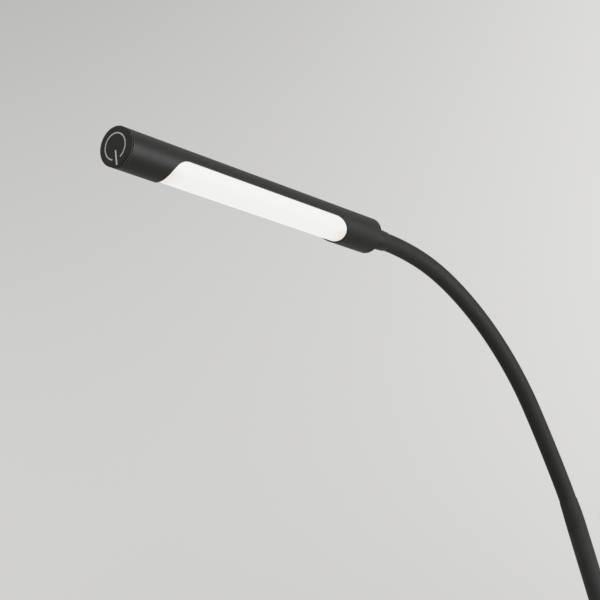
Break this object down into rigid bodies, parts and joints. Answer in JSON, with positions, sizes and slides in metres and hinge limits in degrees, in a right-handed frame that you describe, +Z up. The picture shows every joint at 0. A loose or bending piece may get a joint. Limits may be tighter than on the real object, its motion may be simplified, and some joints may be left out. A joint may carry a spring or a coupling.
{
  "type": "floor lamp",
  "caption": "Slim black floor lamp: round weighted base, straight pole, flexible neck and a tubular LED head with a push button in its end.",
  "frame": {"origin": "centre of the underside of the base, on the floor", "axes": "+Z up along the pole; the neck carries the head out towards -X; the cord leaves the base towards +X"},
  "size_m": [0.5924, 0.23, 1.4008],
  "materials": {
    "black_powder_coat": "satin black powder coat with a very fine grain",
    "black_button": "satin black, as the tube beside it",
    "black_rubber": "smooth matte black silicone sleeve",
    "black_soft_cuff": "matte black moulded rubber",
    "black_grommet": "matte black rubber",
    "black_foam": "dense black foam",
    "symbol_grey": "flat light grey filled line",
    "cast_weight": "rough grey casting",
    "zinc_steel": "zinc plated pressed steel",
    "turned_steel": "turned steel",
    "small_steel": "plain small steel parts",
    "link_steel": "turned steel",
    "cream_block": "cream moulded nylon",
    "lead_sleeve": "white PVC sheath",
    "carrier_aluminium": "mill finish extrusion",
    "white_board": "white solder mask",
    "led_phosphor": "yellow phosphor",
    "opal_diffuser": "opal acrylic, evenly lit from inside",
    "dark_plastic": "dark grey moulded plastic",
    "green_board": "green solder mask",
    "component_black": "black moulded component cases",
    "plunger_plastic": "natural nylon"
  },
  "bodies": {
    "stand": {"base_cover": "black_powder_coat", "base_weight": "cast_weight", "base_plate": "zinc_steel", "base_pad": "black_foam", "base_screws": "zinc_steel", "cord_grommet": "black_grommet", "terminal_block": "cream_block", "pole_washer": "zinc_steel", "pole_nut": "zinc_steel", "pole_lower": "black_powder_coat", "pole_middle": "black_powder_coat", "pole_upper": "black_powder_coat", "pole_studs": "turned_steel", "pole_inserts": "turned_steel", "pole_lead": "lead_sleeve", "neck_lower_fitting": "turned_steel", "neck_lower_cuff": "black_soft_cuff", "neck_sleeve": "black_rubber", "neck_lead": "lead_sleeve"},
    "neck_01": {"neck_link_01": "link_steel"},
    "neck_02": {"neck_link_02": "link_steel"},
    "neck_03": {"neck_link_03": "link_steel"},
    "neck_04": {"neck_link_04": "link_steel"},
    "neck_05": {"neck_link_05": "link_steel"},
    "neck_06": {"neck_link_06": "link_steel"},
    "neck_07": {"neck_link_07": "link_steel"},
    "neck_08": {"neck_link_08": "link_steel"},
    "neck_09": {"neck_link_09": "link_steel"},
    "neck_10": {"neck_link_10": "link_steel"},
    "neck_11": {"neck_link_11": "link_steel"},
    "neck_12": {"neck_link_12": "link_steel"},
    "neck_13": {"neck_link_13": "link_steel"},
    "neck_14": {"neck_link_14": "link_steel"},
    "neck_15": {"neck_link_15": "link_steel"},
    "head": {"neck_upper_fitting": "turned_steel", "neck_upper_collar": "black_powder_coat", "head_tube": "black_powder_coat", "rear_cap": "black_powder_coat", "rear_cap_screws": "small_steel", "rear_set_screw": "small_steel", "led_carrier": "carrier_aluminium", "led_board": "white_board", "led_chips": "led_phosphor", "diffuser": "opal_diffuser", "front_end_block": "dark_plastic", "rear_end_block": "dark_plastic", "head_lead": "lead_sleeve", "led_lead": "lead_sleeve", "dimmer_board": "green_board", "dimmer_parts": "component_black", "switch_board": "green_board", "switch_body": "component_black", "button_guide": "dark_plastic", "button_spring": "small_steel"},
    "button": {"power_button": "black_button", "button_symbol": "symbol_grey", "button_clip": "small_steel", "switch_plunger": "plunger_plastic"}
  },
  "joints": [
    {"name": "lower_bend_1", "type": "hinge", "parent": "stand", "child": "neck_01", "pos_m": [-0.00008, 0, 1.172], "axis": [0.0001, -1, 0], "range_deg": [-11.25, 11.25], "deforming": ["neck_sleeve", "neck_lead", "neck_lower_cuff"]},
    {"name": "lower_side_1", "type": "hinge", "parent": "neck_01", "child": "neck_02", "pos_m": [-0.00162, 0, 1.1924], "axis": [0.9925, 0, 0.122], "range_deg": [-9, 9], "deforming": ["neck_sleeve", "neck_lead", "neck_lower_cuff"]},
    {"name": "lower_bend_2", "type": "hinge", "parent": "neck_02", "child": "neck_03", "pos_m": [-0.0048, 0, 1.21262], "axis": [0.0001, -1, 0], "range_deg": [-11.25, 11.25], "deforming": ["neck_sleeve", "neck_lead"]},
    {"name": "lower_side_2", "type": "hinge", "parent": "neck_03", "child": "neck_04", "pos_m": [-0.00862, 0, 1.23272], "axis": [0.9798, 0, 0.1999], "range_deg": [-9, 9], "deforming": ["neck_sleeve", "neck_lead"]},
    {"name": "lower_bend_3", "type": "hinge", "parent": "neck_04", "child": "neck_05", "pos_m": [-0.01298, 0, 1.25272], "axis": [0.0001, -1, 0], "range_deg": [-11.25, 11.25], "deforming": ["neck_sleeve", "neck_lead"]},
    {"name": "lower_side_3", "type": "hinge", "parent": "neck_05", "child": "neck_06", "pos_m": [-0.01804, 0, 1.27255], "axis": [0.9568, 0, 0.2908], "range_deg": [-9, 9], "deforming": ["neck_sleeve", "neck_lead"]},
    {"name": "lower_bend_4", "type": "hinge", "parent": "neck_06", "child": "neck_07", "pos_m": [-0.02519, 0, 1.29171], "axis": [0.0001, -1, 0], "range_deg": [-11.25, 11.25], "deforming": ["neck_sleeve", "neck_lead"]},
    {"name": "lower_side_4", "type": "hinge", "parent": "neck_07", "child": "neck_08", "pos_m": [-0.03467, 0, 1.30983], "axis": [0.8556, 0, 0.5176], "range_deg": [-9, 9], "deforming": ["neck_sleeve", "neck_lead"]},
    {"name": "upper_bend_1", "type": "hinge", "parent": "neck_08", "child": "neck_09", "pos_m": [-0.04632, 0, 1.32664], "axis": [0.0001, -1, 0], "range_deg": [-11.25, 11.25], "deforming": ["neck_sleeve", "neck_lead"]},
    {"name": "upper_side_1", "type": "hinge", "parent": "neck_09", "child": "neck_10", "pos_m": [-0.05997, 0, 1.34187], "axis": [0.7017, 0, 0.7124], "range_deg": [-9, 9], "deforming": ["neck_sleeve", "neck_lead"]},
    {"name": "upper_bend_2", "type": "hinge", "parent": "neck_10", "child": "neck_11", "pos_m": [-0.07541, 0, 1.35529], "axis": [0.0001, -1, 0], "range_deg": [-11.25, 11.25], "deforming": ["neck_sleeve", "neck_lead"]},
    {"name": "upper_side_2", "type": "hinge", "parent": "neck_11", "child": "neck_12", "pos_m": [-0.09239, 0, 1.36669], "axis": [0.5046, 0, 0.8634], "range_deg": [-9, 9], "deforming": ["neck_sleeve", "neck_lead"]},
    {"name": "upper_bend_3", "type": "hinge", "parent": "neck_12", "child": "neck_13", "pos_m": [-0.11077, 0, 1.37565], "axis": [0.0001, -1, 0], "range_deg": [-11.25, 11.25], "deforming": ["neck_sleeve", "neck_lead"]},
    {"name": "upper_side_3", "type": "hinge", "parent": "neck_13", "child": "neck_14", "pos_m": [-0.1303, 0, 1.3817], "axis": [0.222, 0, 0.975], "range_deg": [-9, 9], "deforming": ["neck_sleeve", "neck_lead"]},
    {"name": "upper_bend_4", "type": "hinge", "parent": "neck_14", "child": "neck_15", "pos_m": [-0.15046, 0, 1.38523], "axis": [0.0001, -1, 0], "range_deg": [-11.25, 11.25], "deforming": ["neck_sleeve", "neck_lead"]},
    {"name": "upper_side_4", "type": "hinge", "parent": "neck_15", "child": "head", "pos_m": [-0.17085, 0, 1.38684], "axis": [0.0087, 0, 1], "range_deg": [-9, 9], "deforming": ["neck_sleeve", "neck_lead"]},
    {"name": "button_press", "type": "slide", "parent": "head", "child": "button", "axis": [1, 0, 0], "range_m": [0, 0.0006], "stiffness_N_per_m": 800, "springref_m": -0.0015, "deforming": ["button_spring"]}
  ],
  "couplings": [
    {"joint": "lower_bend_2", "follows": "lower_bend_1", "ratio": 1},
    {"joint": "lower_side_2", "follows": "lower_side_1", "ratio": 1},
    {"joint": "lower_bend_3", "follows": "lower_bend_1", "ratio": 1},
    {"joint": "lower_side_3", "follows": "lower_side_1", "ratio": 1},
    {"joint": "lower_bend_4", "follows": "lower_bend_1", "ratio": 1},
    {"joint": "lower_side_4", "follows": "lower_side_1", "ratio": 1},
    {"joint": "upper_bend_2", "follows": "upper_bend_1", "ratio": 1},
    {"joint": "upper_side_2", "follows": "upper_side_1", "ratio": 1},
    {"joint": "upper_bend_3", "follows": "upper_bend_1", "ratio": 1},
    {"joint": "upper_side_3", "follows": "upper_side_1", "ratio": 1},
    {"joint": "upper_bend_4", "follows": "upper_bend_1", "ratio": 1},
    {"joint": "upper_side_4", "follows": "upper_side_1", "ratio": 1}
  ]
}
